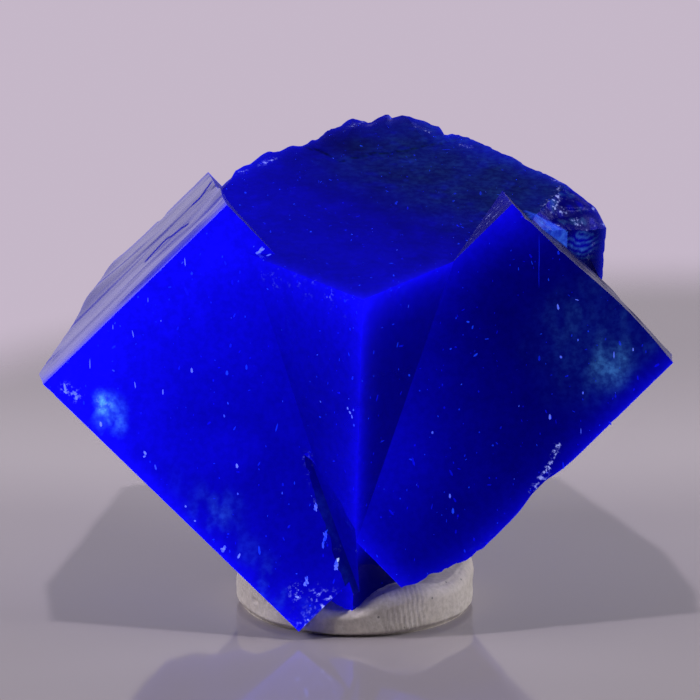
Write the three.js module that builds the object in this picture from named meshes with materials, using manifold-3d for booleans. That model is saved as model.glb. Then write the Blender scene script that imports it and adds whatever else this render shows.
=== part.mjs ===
// Fluorite specimen: three cubes grown through one another, standing on a low pad of putty.
// Units are millimetres, +Z is up and -Y is the side that the specimen is shown from.
// The origin is the middle of the pad's flat underside.

import * as THREE from 'three';
import { ConvexGeometry } from 'three/addons/geometries/ConvexGeometry.js';
import { mergeVertices } from 'three/addons/utils/BufferGeometryUtils.js';
import Module from 'manifold-3d';

const wasm = await Module();
wasm.setup();

// Where the middle crystal's front corner is, and how its cube stands: turned about the
// vertical, then leaning a little forward.
const FRONT_CORNER = new THREE.Vector3(0.5, -10.8, 25.7);
const LEAN_FORWARD_DEG = 7.0;
const LEAN_SIDE_DEG = 1.7;
const TURN_DEG = -132.4;

// The twin law: the outer crystals are the middle one turned half a circle about this cube diagonal.
const TWIN_AXIS = new THREE.Vector3(1, 1, -1).normalize();

// Middle crystal. Its front corner is the origin of its own frame: x is the left face's normal,
// y the right face's and z the top face's.
const MIDDLE = {
  twinned: false,
  low: [-24.9, -20.8, -24.4],
  high: [0, 0, 0],
  breaks: [
    // Cleavage planes, each across a cube corner: the back, the lower left and the lower right.
    { normal: [-1, -1, -1], through: [-24.9, -18.9, 0] },
    { normal: [1, -1, -1], through: [0, -9.8, -24.4] },
    { normal: [-1, 1, -1], through: [-11.2, 0, -24.4] },
    // Where the left crystal's side has grown over it, and the broken right end of the top.
    { normal: [1, -2, 2], through: [-7, -19.6, 0] },
    { normal: [-0.257, 0.594, 0.762], through: [-16.8, 0, 0] },
  ],
};

// Left crystal, in the twinned frame: x runs down to the right, y down to the left, z away.
const LEFT = {
  twinned: true,
  low: [-10.8, 2.3, 7.25],
  high: [14.35, 19.75, 36.3],
  breaks: [
    { normal: [1, 1, 1], through: [14.35, 19.75, 8.4] },
    { normal: [-0.15, 0.92, 0.36], through: [-10.8, 15.6, 25.9] },
    // It stops just behind the middle crystal's right face.
    { normal: [2, -1, -2], through: [0, 0, 0.05] },
  ],
};

// Right crystal, in the same twinned frame.
const RIGHT = {
  twinned: true,
  low: [3.15, -12.1, 6.35],
  high: [19.15, 12.4, 35.5],
  breaks: [
    { normal: [1, 1, 1], through: [19.15, 12.4, 10.4] },
    { normal: [0.82, 0.279, 0.5], through: [17.1, 12.4, 6.35] },
    { normal: [0.93, -0.3, 0.21], through: [13.65, -12.1, 35.5] },
    // It stops just behind the middle crystal's left face.
    { normal: [-1, 2, -2], through: [0, 0, 0.05] },
  ],
};

// Groove beside the left crystal, low on the middle crystal's left face, in the middle crystal's
// frame. Its floor hinges on the line from the tip to the corner edge and sinks towards the foot.
const GROOVE = {
  tip: [-4.67, -13.3],
  edge: [0.7, -18.4],
  foot: [1.58, -26],
  depth: 0.9,
  reach: 3,
};

// Putty pad: a squat disc that the crystals are pressed into.
const PAD_RADIUS = 8.4;
const PAD_TOP_RADIUS = 8.1;
const PAD_HEIGHT = 5.4;
const PAD_ROUNDING = 0.7;
const PAD_SEGMENTS = 72;
const PAD_ROUNDING_STEPS = 4;
// The pad's top slopes with the middle crystal's underside, this far up its side faces.
const SINK = 1.1;
// Clear gap between the crystals and the putty.
const GAP = 0.3;
const BLOCK = 200;

const fluorite = new THREE.MeshStandardMaterial({ color: 0x0a0ac8, roughness: 0.15, metalness: 0 });
const putty = new THREE.MeshStandardMaterial({ color: 0xc9c2b4, roughness: 0.95, metalness: 0 });

// A closed geometry as a solid, with its corner points merged.
function solid(geometry) {
  const bare = geometry.clone();
  bare.deleteAttribute('normal');
  bare.deleteAttribute('uv');
  const merged = mergeVertices(bare, 1e-4);
  return new wasm.Manifold(new wasm.Mesh({
    numProp: 3,
    vertProperties: new Float32Array(merged.attributes.position.array),
    triVerts: new Uint32Array(merged.index.array),
  }));
}

// A solid's faces as a geometry.
function geometryOf(body) {
  const mesh = body.getMesh();
  const geometry = new THREE.BufferGeometry();
  geometry.setAttribute('position', new THREE.BufferAttribute(mesh.vertProperties, 3));
  geometry.setIndex(new THREE.BufferAttribute(mesh.triVerts, 1));
  geometry.computeVertexNormals();
  return geometry;
}

// Everything on the outer side of the plane with this normal, moved out by a margin.
function outerBlock(normal, through, margin) {
  const n = new THREE.Vector3(...normal).normalize();
  const distance = n.dot(new THREE.Vector3(...through)) + margin;
  const block = new THREE.BoxGeometry(BLOCK, BLOCK, BLOCK);
  block.translate(0, 0, BLOCK / 2 + distance);
  block.applyQuaternion(new THREE.Quaternion().setFromUnitVectors(new THREE.Vector3(0, 0, 1), n));
  return block;
}

// One cube-faced crystal with its broken sides, in the middle crystal's frame. Every face is
// moved out by the margin.
function crystal({ twinned, low, high, breaks }, margin = 0) {
  const size = high.map((value, axis) => value - low[axis] + 2 * margin);
  const centre = high.map((value, axis) => (value + low[axis]) / 2);
  const box = new THREE.BoxGeometry(...size);
  box.translate(...centre);
  const twinTurn = new THREE.Quaternion().setFromAxisAngle(TWIN_AXIS, twinned ? Math.PI : 0);
  let body = solid(box.applyQuaternion(twinTurn));
  for (const { normal, through } of breaks) {
    body = body.subtract(solid(outerBlock(normal, through, margin).applyQuaternion(twinTurn)));
  }
  return body;
}

// The three crystals grown together.
function crystals(margin = 0) {
  return [LEFT, RIGHT].reduce((body, outer) => body.add(crystal(outer, margin)), crystal(MIDDLE, margin));
}

// The groove as a prism with a sloping floor.
function groove({ tip, edge, foot, depth, reach }) {
  const outer = [tip, edge, foot].map(([y, z]) => new THREE.Vector3(reach, y, z));
  const floor = [
    new THREE.Vector3(0, ...tip),
    new THREE.Vector3(0, ...edge),
    new THREE.Vector3(-depth, ...foot),
  ];
  return solid(new ConvexGeometry([...outer, ...floor]));
}

// The pad's half section, from its axis at the underside round to its axis at the top.
function padProfile() {
  const points = [new THREE.Vector2(0, 0), new THREE.Vector2(PAD_RADIUS - PAD_ROUNDING / 2, 0)];
  points.push(new THREE.Vector2(PAD_RADIUS, PAD_ROUNDING));
  for (let step = 0; step <= PAD_ROUNDING_STEPS; step += 1) {
    const angle = (step / PAD_ROUNDING_STEPS) * (Math.PI / 2);
    points.push(new THREE.Vector2(
      PAD_TOP_RADIUS - PAD_ROUNDING * (1 - Math.cos(angle)),
      PAD_HEIGHT - PAD_ROUNDING * (1 - Math.sin(angle)),
    ));
  }
  points.push(new THREE.Vector2(0, PAD_HEIGHT));
  return points;
}

// Where the crystals' own frame stands in the object's frame.
const stance = new THREE.Matrix4().compose(
  FRONT_CORNER,
  new THREE.Quaternion().setFromEuler(new THREE.Euler(
    THREE.MathUtils.degToRad(LEAN_FORWARD_DEG),
    THREE.MathUtils.degToRad(LEAN_SIDE_DEG),
    THREE.MathUtils.degToRad(TURN_DEG),
  )),
  new THREE.Vector3(1, 1, 1),
);

const cluster = new THREE.Mesh(geometryOf(crystals().subtract(groove(GROOVE))), fluorite);
cluster.name = 'fluorite_crystals';
stance.decompose(cluster.position, cluster.quaternion, cluster.scale);

// The disc, less what rises above the sloping top, less the crystals' bed.
const disc = new THREE.LatheGeometry(padProfile(), PAD_SEGMENTS).rotateX(Math.PI / 2);
const above = outerBlock([0, 0, 1], [0, 0, MIDDLE.low[2] + SINK], 0).applyMatrix4(stance);
const bed = geometryOf(crystals(GAP)).applyMatrix4(stance);
const pad = new THREE.Mesh(geometryOf(solid(disc).subtract(solid(above)).subtract(solid(bed))), putty);
pad.name = 'putty_pad';

const specimen = new THREE.Group();
specimen.add(cluster, pad);

export default specimen;
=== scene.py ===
import itertools
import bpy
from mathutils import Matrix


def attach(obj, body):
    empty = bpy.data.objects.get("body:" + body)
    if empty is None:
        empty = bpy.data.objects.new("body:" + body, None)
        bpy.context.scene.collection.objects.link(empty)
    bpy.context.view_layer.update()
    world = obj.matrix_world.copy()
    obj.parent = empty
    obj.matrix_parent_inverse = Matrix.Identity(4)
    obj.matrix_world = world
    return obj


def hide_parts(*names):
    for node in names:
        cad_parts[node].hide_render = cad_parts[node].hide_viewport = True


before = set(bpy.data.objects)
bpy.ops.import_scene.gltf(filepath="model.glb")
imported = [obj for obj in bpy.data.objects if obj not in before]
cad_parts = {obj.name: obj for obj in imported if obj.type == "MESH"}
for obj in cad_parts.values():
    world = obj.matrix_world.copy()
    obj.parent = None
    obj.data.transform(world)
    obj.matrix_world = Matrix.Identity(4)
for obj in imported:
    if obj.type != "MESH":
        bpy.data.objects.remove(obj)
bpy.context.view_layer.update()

from types import SimpleNamespace

import bmesh
import bpy
import numpy as np
from mathutils import Matrix, Vector
from mathutils.geometry import delaunay_2d_cdt

# Lengths in this script are millimetres; the meshes are written in metres.
MM = 0.001
UP = np.array([0.0, 0.0, 1.0])

# Where the middle crystal's front corner is, and how its cube is turned and leans.
FRONT_CORNER = np.array([0.5, -10.8, 25.7])
LEAN_FORWARD, LEAN_SIDE, TURN = np.radians([7.0, 1.7, -132.4])
TWIN_AXIS = np.array([1.0, 1.0, -1.0]) / np.sqrt(3.0)

# The outer crystals' cube faces, in the twinned frame.
LEFT_LOW, LEFT_HIGH = (-10.8, 2.3, 7.25), (14.35, 19.75, 36.3)
RIGHT_LOW, RIGHT_HIGH = (3.15, -12.1, 6.35), (19.15, 12.4, 35.5)
# Where the left crystal's side has grown over the middle one, as a sliver beside the top.
GROWN_OVER = -10.733
# The middle crystal's underside, and how far the top reaches back from its right front edge.
MIDDLE_FOOT, TOP_DEPTH = -24.4, 20.8
# The part of the middle crystal's right face past this x shows again behind the right crystal.
RIGHT_END = -14.0
# The outer crystals' upper sides, which are streaked and seen almost edge-on.
STREAKED_SIDES = ("left_band", "right_side")

# A cleavage panel across that part and the broken end above it, lit by a painted sheen, and the
# rippled and the clear green places beyond it: places to the right of and above the front corner, as seen.
SHEEN_PANEL = [(11.3, 6.5), (12.2, 6.1), (13.95, 5.2), (14.5, 4.85), (14.45, 3.75), (14.0, 3.95), (12.8, 4.95)]
RIPPLES, CLEAR_CORNER = (15.4, 4.1), (16.8, 2.3)
# Cracks on the left crystal's side: places to the right of and above the front corner, as seen.
SIDE_CRACKS = [
    np.array([(-12.4, 5.40), (-12.9, 5.10), (-13.5, 4.62), (-13.9, 4.42), (-14.35, 3.95), (-15.4, 2.80)]),
    np.array([(-10.75, 8.55), (-11.2, 7.90), (-11.6, 7.30), (-12.1, 6.85)]),
]
# A ragged strip of crushed crystal inside the right face's lower edge, in the twinned frame.
RAGGED_STRIP = np.array([(17.6, -2.5, 6.35), (18.15, -1.5, 6.35), (18.5, -0.1, 6.35), (18.75, 0.9, 6.35)])
# Veils and crushed places on the outer crystals' fronts: x and y in the twinned frame, radius and amount.
LEFT_VEILS = [
    (-7.0, 18.3, 1.0, 1.5), (-6.4, 18.5, 1.8, 0.9), (-5.2, 18.9, 1.2, 0.7), (4.2, 18.0, 2.6, 0.13),
    (11.0, 18.6, 2.4, 0.17),
]
LEFT_BRUISES = [
    (-9.5, 19.4, 0.55, 0.7), (-8.7, 19.3, 0.6, 0.9), (-6.9, 18.3, 0.8, 0.5), (12.3, 17.9, 0.9, 0.6),
    (13.4, 17.0, 0.9, 0.5),
]
RIGHT_VEILS = [(16.4, -9.2, 2.3, 0.40), (14.5, -9.5, 6.5, 0.10)]

# The raised slab at the top's back corner, in the middle crystal's frame: where its outline
# turns, how its front edge runs, and how high it stands.
STEP_CORNER, STEP_SLOPE, STEP_HEIGHT = (-16.6, -17.0), -0.34, 0.05

# The top's back rim: how far up its own plane it reaches past straight edges, at these x. The rim
# is what lies behind this y, and the move fades over this reach.
RIM_OUTLINE = [
    (-9.6, 0.8), (-8.8, 0.2), (-8.6, 0.7), (-7.7, 0.9), (-7.5, 0.7), (-7.1, 1.0), (-6.4, 1.9), (-5.2, 0.8),
    (-4.5, 1.1), (-3.9, 0.2), (-3.2, 0.6), (-2.8, 0.2), (-2.0, 1.2), (-1.1, 0.7), (-0.3, 1.5), (0.4, 0.3),
    (1.0, -0.5), (1.6, 0.6), (2.3, 1.5), (2.5, 0.5), (3.8, 1.4), (4.9, 1.4), (5.5, 1.2), (6.0, 1.5),
    (6.2, 1.2), (6.4, 0.3), (6.8, 1.3), (7.2, 1.2), (8.3, 2.0), (9.2, 1.5), (10.6, 1.3), (12.8, 0.5),
    (13.6, 0.6), (14.7, -0.4),
]
BACK_RIM_Y, RIM_REACH = 5.0, 1.6
# Places where the outline is worn round or bitten in: centre, radius and push.
SWELLS = [
    ((16.0, 9.5, 25.5), 2.6, (0.57, 0.0, 0.34)),
    ((17.2, 5.4, 21.0), 2.2, (0.40, 0.0, 0.0)),
    ((-19.4, 22.5, 16.0), 3.0, (-0.30, 0.0, 0.35)),
    ((-18.7, 16.2, 17.5), 3.2, (-0.22, 0.0, 0.24)),
    ((13.0, -6.9, 10.6), 1.7, (-0.28, 0.0, 0.28)),
    ((19.3, -3.9, 22.5), 5.5, (0.39, 0.10, 0.37)),
]
# The left crystal's lower left side runs this far outside its cube plane at the left corner and
# comes back to it at the foot. The right crystal's upper right side stands out behind its front edge.
LEFT_SPLAY, RIGHT_LEDGE = 0.62, 0.42

# The picture's side in pixels and a pixel's size at the front corner, how many pixels right of and
# above the picture's middle that corner stands, and how the camera looks at it.
PICTURE_SIDE, PIXEL = 700, 0.07
CORNER_RIGHT, CORNER_UP = 12.83, 50.03
CAMERA_HEIGHT, CAMERA_DISTANCE, SENSOR = np.radians(17.5), 1400.0, 36.0
SEEN_RIGHT = np.array([1.0, 0.0, 0.0])
SEEN_UP = np.array([0.0, np.sin(CAMERA_HEIGHT), np.cos(CAMERA_HEIGHT)])
TOWARDS_VIEWER = np.array([0.0, -np.cos(CAMERA_HEIGHT), np.sin(CAMERA_HEIGHT)])

# Mesh spacing on the faces seen from the front, on the rest, and inside the rippled end's faces. The
# rows of a hexagonal grid are this share of the spacing apart.
FINE, COARSE, FINEST, ROW_SHARE = 0.24, 0.42, 0.12, 0.866
# Corners closer than this are one, and edges that turn by less than this are inside a flat face.
MERGE_DISTANCE, FLAT_TURN = 0.002, np.radians(0.4)
# Two directions are the same when their product is above this, and two planes when this close.
SAME_WAY, SAME_PLANE = 0.999, 0.05
# The bites at the rim of a rough face, as a share of their usual depth on the streaked sides.
SHALLOW_BITES = 0.4
# Each flat face's own noise is numbered from here. Noise reads a table of this many random values
# by a number made from the lattice corner with these primes.
FACE_SEED = 40
NOISE_TABLE, NOISE_PRIMES = 4096, np.array([73856093, 19349663, 83492791])

# Each face corner's stored values, with their limits and what they are where a face's finish has
# none: strength of the blue glow, pale veil, crushed white and roughness.
FIELDS = {
    "glow": (0.02, 1.2, 0.0), "veil": (0.0, 1.6, 0.0), "bruise": (0.0, 1.0, 0.0), "dull": (0.03, 0.9, 0.06),
}

FLECK_SEED = 7
FLECK_COUNTS = {"left": 150, "right": 200, "middle_left": 60, "middle_right": 60, "top": 240}
# A mark at least this wide is a row of this many splinters, whose length, width and tone are
# between these shares of the mark's own.
SPLINTERED_WIDTH, SPLINTERS = 0.195, 8
SPLINTER_SHARES = [(0.22, 0.5), (0.3, 0.9), (0.55, 1.0)]
# Single marks, in the order that they are made in: the face, then for each mark its two coordinates
# in the face's plane, the tilt from upright in degrees, length, width and tone.
MARKS = [
    ("middle_left", [
        (-1.15, -8.75, 15.0, 0.22, 0.14, 0.75), (-0.92, -9.00, 35.0, 0.26, 0.15, 0.80),
        (-0.72, -9.25, 10.0, 0.30, 0.10, 0.70), (-0.60, -8.70, -30.0, 0.16, 0.12, 0.55),
    ]),
    ("left", [
        (-9.54, 19.45, 12.0, 0.75, 0.16, 1.0), (-9.30, 19.65, 60.0, 0.35, 0.12, 0.9),
        (-8.79, 19.20, 30.0, 0.40, 0.30, 1.0), (-8.45, 19.35, -40.0, 0.40, 0.22, 0.9),
        (-9.98, 7.22, 4.0, 0.62, 0.06, 0.85), (-9.89, 10.95, 0.0, 0.36, 0.05, 0.6),
        (-8.19, 11.33, 0.0, 0.12, 0.08, 0.6), (-8.91, 13.38, 12.0, 0.55, 0.06, 0.75),
        (-10.25, 14.05, 0.0, 0.36, 0.05, 0.7), (-9.52, 17.02, 0.0, 0.75, 0.06, 0.7),
        (-6.23, 15.79, 8.0, 0.50, 0.06, 0.85), (-4.50, 14.74, 0.0, 0.42, 0.08, 0.75),
        (-2.30, 10.58, 0.0, 0.36, 0.18, 0.35), (-5.94, 19.45, 10.0, 0.40, 0.18, 1.0),
        (6.47, 19.45, -40.0, 0.50, 0.25, 1.0), (7.56, 19.02, -25.0, 0.42, 0.14, 0.95),
        (2.90, 14.67, 10.0, 0.34, 0.17, 0.95), (3.61, 19.50, 60.0, 0.14, 0.12, 0.9),
        (2.41, 19.25, 30.0, 0.16, 0.12, 0.9),
    ]),
    ("right", [
        (10.63, -9.32, 10.0, 0.46, 0.15, 0.6), (11.21, -10.62, 75.0, 0.30, 0.07, 0.6),
        (13.31, -7.00, 30.0, 0.22, 0.16, 0.55), (6.94, -4.06, 80.0, 0.24, 0.14, 0.35),
        (13.29, -8.70, 0.0, 0.18, 0.10, 0.5), (16.50, -11.00, 0.0, 0.26, 0.09, 0.7),
        (15.83, -9.77, 0.0, 0.55, 0.08, 0.6), (15.80, -3.49, 0.0, 0.42, 0.16, 0.65),
        (14.86, 5.43, 0.0, 0.34, 0.14, 0.6), (16.22, -6.34, 0.0, 0.22, 0.12, 0.55),
        (18.05, -4.36, 0.0, 0.45, 0.05, 0.55), (15.77, 6.02, 0.0, 0.45, 0.18, 0.35),
    ]),
    ("left", [
        (-2.30, 18.65, 30.0, 0.32, 0.16, 1.0), (-2.15, 18.85, -60.0, 0.22, 0.12, 0.9),
        (12.51, 18.13, 80.0, 0.30, 0.14, 0.9),
    ]),
    ("top", [
        (-17.3, -3.4, 38.0, 1.1, 0.07, 0.55), (-18.6, -3.9, 38.0, 0.9, 0.06, 0.45),
        (-20.4, -5.2, 38.0, 1.2, 0.06, 0.40),
    ]),
    ("right", [(6.9, -11.1, 0.0, 2.6, 0.05, 0.12), (8.0, -10.0, 0.0, 2.2, 0.05, 0.10)]),
    ("left", [
        (8.83, 12.75, -12.0, 0.65, 0.20, 0.75), (10.9, 13.85, -18.0, 1.50, 0.24, 0.60),
        (12.8, 14.55, -12.0, 0.95, 0.24, 0.75), (12.2, 16.9, -14.0, 0.75, 0.22, 0.85),
        (-6.84, 2.9, -50.0, 0.75, 0.22, 0.9), (-6.1, 2.75, -50.0, 0.5, 0.16, 0.8),
    ]),
]
# How far under the face a mark lies.
MARK_DEPTH = 0.10

# The pad's top is this far up the middle crystal's sides, and nowhere nearer to the crystals than
# the gap.
PAD_RADIUS, PAD_SINK, PAD_CONTACT_GAP = 8.4, 1.1, 0.05
# The rounded shoulder between the wall and the top: how far in it reaches, its share of the
# height, and the share of the wall's rows below it.
PAD_SHOULDER, PAD_SHOULDER_SHARE, PAD_WALL_SHARE = 0.9, 0.32, 0.6
# How far in the wall turns at its foot, and up to what share of its rows.
PAD_FOOT, PAD_FOOT_SHARE = 0.045 * PAD_RADIUS, 0.14
PAD_TURNS, PAD_WALL_STEPS, PAD_TOP_STEPS, PAD_UNDER_STEPS = 420, 40, 70, 12
# Where the top is pushed up or down: place, spread across and in depth, and height.
PAD_HUMPS = [(4.4, -7.0, 10.0, 4.0, 0.85), (-1.6, -8.2, 6.5, 5.0, -0.95)]
# The clear fingertip ridges: where they are round the wall, how far they reach, and how many
# would go round it.
RIDGE_MIDDLE, RIDGE_HALF, RIDGE_WAVES = 0.42, 0.24, 140.0

# The floor fades out over this much inside its edge.
FLOOR_RADIUS, FLOOR_FADE, FLOOR_RINGS, FLOOR_TURNS = 84.0, 14.0, 12, 96
FLOOR_CENTRE = np.array([26.0, 0.0, 0.0])
# Each lamp's place, size, power and colour, and what they all face.
LAMPS = {
    "overhead": ((-36.0, -60.0, 600.0), 26.0, 1.05, (1.0, 0.93, 0.97)),
    "soft_left": ((-380.0, -20.0, 290.0), 240.0, 1.2, (1.0, 0.95, 0.97)),
    "soft_right": ((380.0, -20.0, 290.0), 240.0, 1.1, (1.0, 0.97, 0.95)),
}
LAMP_AIM = Vector((0.0, 0.0, 14.0))
# Strength of the even light from all round.
AMBIENT = 0.20


def unit(direction):
    """The direction with a length of 1, or each row of them."""
    return direction / np.linalg.norm(direction, axis=-1, keepdims=True)


def turn_matrix(axis, angle):
    """The turn by this angle about the x, y or z axis, numbered 0, 1 or 2."""
    matrix = np.eye(3)
    i, j = (axis + 1) % 3, (axis + 2) % 3
    matrix[i, i] = matrix[j, j] = np.cos(angle)
    matrix[j, i] = np.sin(angle)
    matrix[i, j] = -matrix[j, i]
    return matrix


# The columns are the cube face normals of the middle crystal: left, right and top.
MIDDLE_AXES = turn_matrix(0, LEAN_FORWARD) @ turn_matrix(1, LEAN_SIDE) @ turn_matrix(2, TURN)
# The columns are the twinned crystals' directions: down to the right, down to the left, away.
TWIN_AXES = MIDDLE_AXES @ (2.0 * np.outer(TWIN_AXIS, TWIN_AXIS) - np.eye(3))
# The cube faces that have a finish of their own: the crystal's axes, the coordinate that is fixed
# there, which way along it the face looks, and the coordinate's value.
CUBE_FACES = {
    "middle_left": (MIDDLE_AXES, 0, 1.0, 0.0),
    "middle_right": (MIDDLE_AXES, 1, 1.0, 0.0),
    "top": (MIDDLE_AXES, 2, 1.0, 0.0),
    "left": (TWIN_AXES, 2, -1.0, LEFT_LOW[2]),
    "right": (TWIN_AXES, 2, -1.0, RIGHT_LOW[2]),
    "left_band": (TWIN_AXES, 0, -1.0, LEFT_LOW[0]),
    "grown_over": (TWIN_AXES, 0, -1.0, GROWN_OVER),
    "right_band": (TWIN_AXES, 0, -1.0, RIGHT_LOW[0]),
    "right_side": (TWIN_AXES, 1, -1.0, RIGHT_LOW[1]),
}


def in_middle(points):
    """Places in the middle crystal's frame, measured from its front corner."""
    return (points - FRONT_CORNER) @ MIDDLE_AXES


def in_twin(points):
    """Places in the twinned frame, measured from the same corner."""
    return (points - FRONT_CORNER) @ TWIN_AXES


def as_seen(points):
    """Places to the right of and above the front corner, as seen from the front."""
    return (points - FRONT_CORNER) @ np.stack([SEEN_RIGHT, SEEN_UP], axis=1)


# Noise


def smooth_step(x, low, high):
    """0 below low, 1 above high, and a smooth rise between."""
    t = np.clip((x - low) / (high - low), 0.0, 1.0)
    return t * t * (3.0 - 2.0 * t)


def value_noise(points, cell, seed):
    """Smooth noise from -1 to 1: a random value at each corner of a cubic lattice of this cell
    size, blended between the eight corners round a point by smooth steps."""
    table = np.random.default_rng(seed).uniform(-1.0, 1.0, NOISE_TABLE)
    q = np.asarray(points, float) / cell
    corner = np.floor(q).astype(np.int64)
    f = smooth_step(q - corner, 0.0, 1.0)
    total = np.zeros(len(q))
    for step in itertools.product((0, 1), repeat=3):
        key = (corner + np.array(step)) @ NOISE_PRIMES
        weight = np.prod(np.where(np.array(step, bool), f, 1.0 - f), axis=1)
        total += weight * table[(key ^ (key >> 13)) % NOISE_TABLE]
    return total


def fractal(points, cell, octaves, seed):
    """Sum of smooth noises, each with half the cell and half the height of the one before."""
    return sum(value_noise(points, cell / 2.0 ** k, seed + k) / 2.0 ** k for k in range(octaves))


def patches(points, cell, octaves, low, high, seed):
    """0 where the noise is below low, 1 where it is above high, and a smooth rise between."""
    return smooth_step(fractal(points, cell, octaves, seed), low, high)


def terraces(x, sharpness):
    """Flat treads joined by short risers: whole steps of x, each rise squeezed into the end of its step."""
    base = np.floor(x)
    return base + smooth_step(x - base, sharpness, 1.0)


# The flat faces of the crystal group


def flat_faces(node):
    """The node's flat faces. A merged copy of its mesh has the edges inside flat areas dissolved.
    Gives corners, loops of corner numbers, normals, and for each edge its corners, its two faces
    and whether it is convex."""
    mesh = bmesh.new()
    mesh.from_mesh(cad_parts[node].data)
    mesh.transform(Matrix.Scale(1.0 / MM, 4))
    bmesh.ops.remove_doubles(mesh, verts=mesh.verts, dist=MERGE_DISTANCE)
    bmesh.ops.dissolve_limit(mesh, angle_limit=FLAT_TURN, verts=mesh.verts, edges=mesh.edges)
    mesh.normal_update()
    mesh.verts.index_update()
    mesh.faces.index_update()
    flat = SimpleNamespace(
        corners=np.array([v.co for v in mesh.verts]),
        loops=[[v.index for v in f.verts] for f in mesh.faces],
        normals=np.array([f.normal for f in mesh.faces]),
        edges=[
            (*(v.index for v in e.verts), [f.index for f in e.link_faces], e.is_convex) for e in mesh.edges
        ],
    )
    mesh.free()
    return flat


def is_grown(normals):
    """True for a cube face of the middle or the twinned crystals, false for a broken face."""
    match = [np.abs(normals @ axes).max(axis=1) for axes in (MIDDLE_AXES, TWIN_AXES)]
    return np.max(match, axis=0) > 0.9995


def face_names(flat):
    """Names the faces that have their own finish: cube faces by their plane, the far end of the middle
    crystal's right face, its break that looks up, and the groove, which looks nearly the way the
    left face does. Others are called broken or side."""
    names = []
    for loop, normal, grown in zip(flat.loops, flat.normals, is_grown(flat.normals)):
        corner = flat.corners[loop[0]] - FRONT_CORNER
        name = "side" if grown else "broken"
        for label, (axes, axis, way, level) in CUBE_FACES.items():
            along = axes[:, axis]
            if way * (normal @ along) > SAME_WAY and abs(corner @ along - level) < SAME_PLANE:
                name = label
        if name == "middle_right" and corner @ MIDDLE_AXES[:, 0] < RIGHT_END:
            name = "right_end"
        if name == "broken" and normal @ MIDDLE_AXES[:, 2] > 0.7:
            name = "top_end"
        if name == "broken" and normal @ MIDDLE_AXES[:, 0] > 0.9:
            name = "groove"
        names.append(name)
    return names


def inside_polygon(points, outline):
    """True for the points inside the closed outline: a ray towards +u crosses it an odd number of times."""
    start, end = outline, np.roll(outline, -1, axis=0)
    rise = end[:, 1] - start[:, 1]
    rise = np.where(np.abs(rise) < 1e-12, 1e-12, rise)
    spans = (start[:, 1] > points[:, None, 1]) != (end[:, 1] > points[:, None, 1])
    reach = start[:, 0] + (points[:, None, 1] - start[:, 1]) / rise * (end[:, 0] - start[:, 0])
    return (spans & (points[:, None, 0] < reach)).sum(axis=1) % 2 == 1


def edge_points(a, b, faces, convex, spacing, depth, flat):
    """Places along the edge from a to b, evenly spaced and worn away. A grown edge loses small
    chips towards the inside, the rim of a rough face is bitten back in steps of this depth within
    the smooth face, and an edge between rough faces wanders. The wear fades out at both ends."""
    length = np.linalg.norm(b - a)
    count = max(1, int(round(length / spacing)))
    t = np.arange(1, count)[:, None] / count
    line = a + t * (b - a)
    if not convex:
        return line
    fade = np.minimum(1.0, np.minimum(t, 1.0 - t) * length / 0.8)
    kept, broken = sorted(faces, key=lambda face: flat.rough[face])
    kept_normal, broken_normal = flat.normals[kept], flat.normals[broken]
    if flat.rough[kept]:
        wander = np.stack([fractal(line, 1.7, 3, seed=15 + k) for k in range(3)], axis=1)
        return line + 0.14 * fade * wander
    if flat.rough[broken]:
        inward = kept_normal * (broken_normal @ kept_normal) - broken_normal
        bite = np.clip(0.5 + 0.5 * fractal(line, 1.3, 3, seed=13), 0.0, 1.2)
        wear = depth * (0.10 * terraces(4.0 * bite, 0.5) + 0.06 * fractal(line, 0.35, 2, seed=14) - 0.2)
    else:
        inward = -(kept_normal + broken_normal)
        wear = 0.02 * np.abs(fractal(line, 0.5, 2, seed=11)) + 0.25 * patches(line, 1.5, 3, 0.6, 1.3, seed=12)
    return line + wear[:, None] * fade * unit(inward)


def hexagonal_grid(low, high, spacing):
    """Points in rows, every other row set off by half a space, over the box from low to high."""
    u = np.arange(low[0], high[0] + spacing, spacing)
    v = np.arange(low[1], high[1] + spacing, spacing * ROW_SHARE)
    grid = np.stack(np.meshgrid(u, v), axis=-1)
    grid[1::2, :, 0] += spacing / 2.0
    return grid.reshape(-1, 2)


def broken_relief(points, seed):
    """Height of a broken face: broad swells, cleavage treads with short risers, shell-like
    ripples and a fine grain."""
    swell = 0.30 * fractal(points, 6.0, 2, seed)
    treads = 0.14 * terraces(2.5 * fractal(points, 5.0, 2, seed + 5), 0.85)
    ripples = 0.02 * np.sin(9.0 * fractal(points, 3.5, 2, seed + 9))
    return swell + treads + ripples + 0.006 * fractal(points, 0.7, 2, seed + 12)


def along_twin(points, stretch):
    """Places squeezed along the twinned frame's second direction, so noise there draws long streaks."""
    q = in_twin(points)
    q[:, 1] /= stretch
    return q


def top_step(points):
    """Height of the raised slab at the top's back corner: nothing in front of its broken outline,
    then a short scarp up."""
    p = in_middle(points)
    wobble = 0.35 * fractal(points, 1.3, 3, seed=71)
    past_side = STEP_CORNER[0] - p[:, 0]
    past_front = STEP_CORNER[1] - STEP_SLOPE * past_side - p[:, 1]
    return STEP_HEIGHT * smooth_step(np.minimum(past_side, past_front) + wobble, 0.0, 0.3)


def grown_relief(name, points, seed):
    """Height of a cube face: very low growth treads and a faint unevenness, never above the plane.
    The outer crystals' upper sides are streaked, and the top has its raised slab."""
    treads = 0.006 * terraces(3.0 * fractal(points, 5.0, 2, seed), 0.85)
    height = treads - 0.01 + 0.0012 * fractal(points, 0.9, 2, seed + 7)
    if name in STREAKED_SIDES:
        height += 0.014 * fractal(along_twin(points, 3.0), 4.0, 2, seed=72) - 0.02
    if name == "top":
        height += top_step(points)
    return height


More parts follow.
